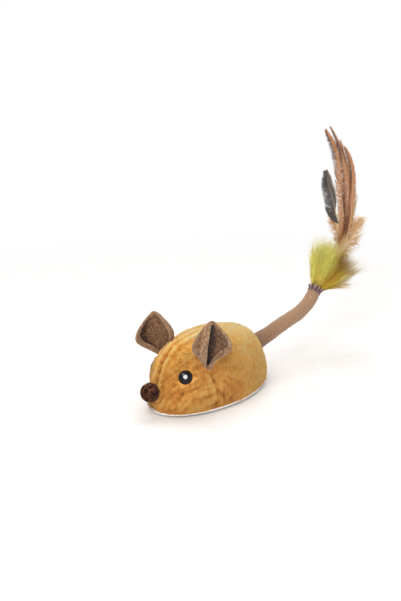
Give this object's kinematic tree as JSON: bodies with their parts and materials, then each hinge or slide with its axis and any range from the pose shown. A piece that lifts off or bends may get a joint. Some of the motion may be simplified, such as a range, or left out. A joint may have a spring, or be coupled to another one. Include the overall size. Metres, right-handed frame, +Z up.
{
  "type": "robotic mouse cat toy",
  "caption": "Plush mouse for cats that drives on two geared wheels and a swivelling caster, with felt ears, button eyes and a curved tail ending in fluff and feathers.",
  "frame": {"origin": "on the flat underside of the plastic base, below the middle of the body; the wheels reach 2 mm below it", "axes": "+Z up, the nose points to -Y, the tail to +Y, and the mouse's left side is +X"},
  "size_m": [0.0819, 0.2461, 0.1915],
  "materials": {
    "golden_plush": "matte",
    "ear_felt": "matte",
    "nose_felt": "matte",
    "tail_fabric": "matte",
    "lime_fluff": "matte",
    "brown_feather": "matte",
    "slate_feather": "matte",
    "cream_feather": "matte",
    "black_gloss": "gloss",
    "white_plastic": "satin",
    "gear_plastic": "satin",
    "tyre_rubber": "matte",
    "steel": "satin",
    "board_green": "satin",
    "cell_wrap": "satin",
    "grey_foam": "matte",
    "red_lead": "satin",
    "black_lead": "satin"
  },
  "bodies": {
    "body": {"base_shell": "white_plastic", "upper_shell": "white_plastic", "plush_left": "golden_plush", "plush_right": "golden_plush", "ear_left": "ear_felt", "ear_right": "ear_felt", "eye_left": "black_gloss", "eye_right": "black_gloss", "eye_washer_left": "white_plastic", "eye_washer_right": "white_plastic", "nose_ball": "nose_felt", "tail_core": "gear_plastic", "tail_sleeve": "tail_fabric", "tail_cuff": "tail_fabric", "feather_long_left": "brown_feather", "feather_long_middle": "brown_feather", "feather_long_right": "brown_feather", "feather_slate": "slate_feather", "feather_down_left": "cream_feather", "feather_down_right": "cream_feather", "fluff_left": "lime_fluff", "fluff_right": "lime_fluff", "drive_frame": "white_plastic", "gear_cover_left": "gear_plastic", "gear_cover_right": "gear_plastic", "motor_left": "steel", "motor_right": "steel", "idler_pin_left": "steel", "idler_pin_right": "steel", "circuit_board": "board_green", "power_switch": "steel", "charging_socket": "steel", "motion_sensor": "steel", "battery": "cell_wrap", "battery_pad": "grey_foam", "battery_lead_red": "red_lead", "battery_lead_black": "black_lead", "frame_screw_front": "steel", "frame_screw_rear": "steel", "case_screw_front_left": "steel", "case_screw_front_right": "steel", "case_screw_rear_left": "steel", "case_screw_rear_right": "steel"},
    "left wheel": {"axle_left": "steel", "final_gear_left": "gear_plastic", "wheel_hub_left": "white_plastic", "tyre_left": "tyre_rubber"},
    "left reduction": {"reduction_gear_left": "gear_plastic"},
    "left rotor": {"motor_pinion_left": "gear_plastic"},
    "right wheel": {"axle_right": "steel", "final_gear_right": "gear_plastic", "wheel_hub_right": "white_plastic", "tyre_right": "tyre_rubber"},
    "right reduction": {"reduction_gear_right": "gear_plastic"},
    "right rotor": {"motor_pinion_right": "gear_plastic"},
    "swivel fork": {"caster_fork": "white_plastic", "caster_axle": "steel"},
    "front roller": {"caster_wheel": "black_gloss"},
    "power knob": {"switch_knob": "black_gloss"}
  },
  "joints": [
    {"name": "left_wheel_spin", "type": "hinge", "parent": "body", "child": "left wheel", "pos_m": [0, 0.01699, 0.009], "axis": [1, 0, 0], "continuous": true},
    {"name": "left_reduction_spin", "type": "hinge", "parent": "body", "child": "left reduction", "pos_m": [0, 0.00952, 0.01249], "axis": [1, 0, 0], "continuous": true},
    {"name": "left_rotor_spin", "type": "hinge", "parent": "body", "child": "left rotor", "pos_m": [0, 0.00155, 0.01179], "axis": [1, 0, 0], "continuous": true},
    {"name": "right_wheel_spin", "type": "hinge", "parent": "body", "child": "right wheel", "pos_m": [0, 0.01699, 0.009], "axis": [1, 0, 0], "continuous": true},
    {"name": "right_reduction_spin", "type": "hinge", "parent": "body", "child": "right reduction", "pos_m": [0, 0.01556, 0.01713], "axis": [1, 0, 0], "continuous": true},
    {"name": "right_rotor_spin", "type": "hinge", "parent": "body", "child": "right rotor", "pos_m": [0, 0.00863, 0.02113], "axis": [1, 0, 0], "continuous": true},
    {"name": "caster_swivel", "type": "hinge", "parent": "body", "child": "swivel fork", "pos_m": [0, -0.03399, 0.0083], "axis": [0, 0, 1], "continuous": true},
    {"name": "caster_roll", "type": "hinge", "parent": "swivel fork", "child": "front roller", "pos_m": [0, -0.03149, 0.0025], "axis": [1, 0, 0], "continuous": true},
    {"name": "power_slide", "type": "slide", "parent": "body", "child": "power knob", "axis": [1, 0, 0], "range_m": [0, 0.002]}
  ],
  "couplings": [
    {"joint": "left_reduction_spin", "follows": "left_wheel_spin", "ratio": -2.6667},
    {"joint": "left_rotor_spin", "follows": "left_wheel_spin", "ratio": 8},
    {"joint": "right_reduction_spin", "follows": "right_wheel_spin", "ratio": -2.6667},
    {"joint": "right_rotor_spin", "follows": "right_wheel_spin", "ratio": 8}
  ]
}
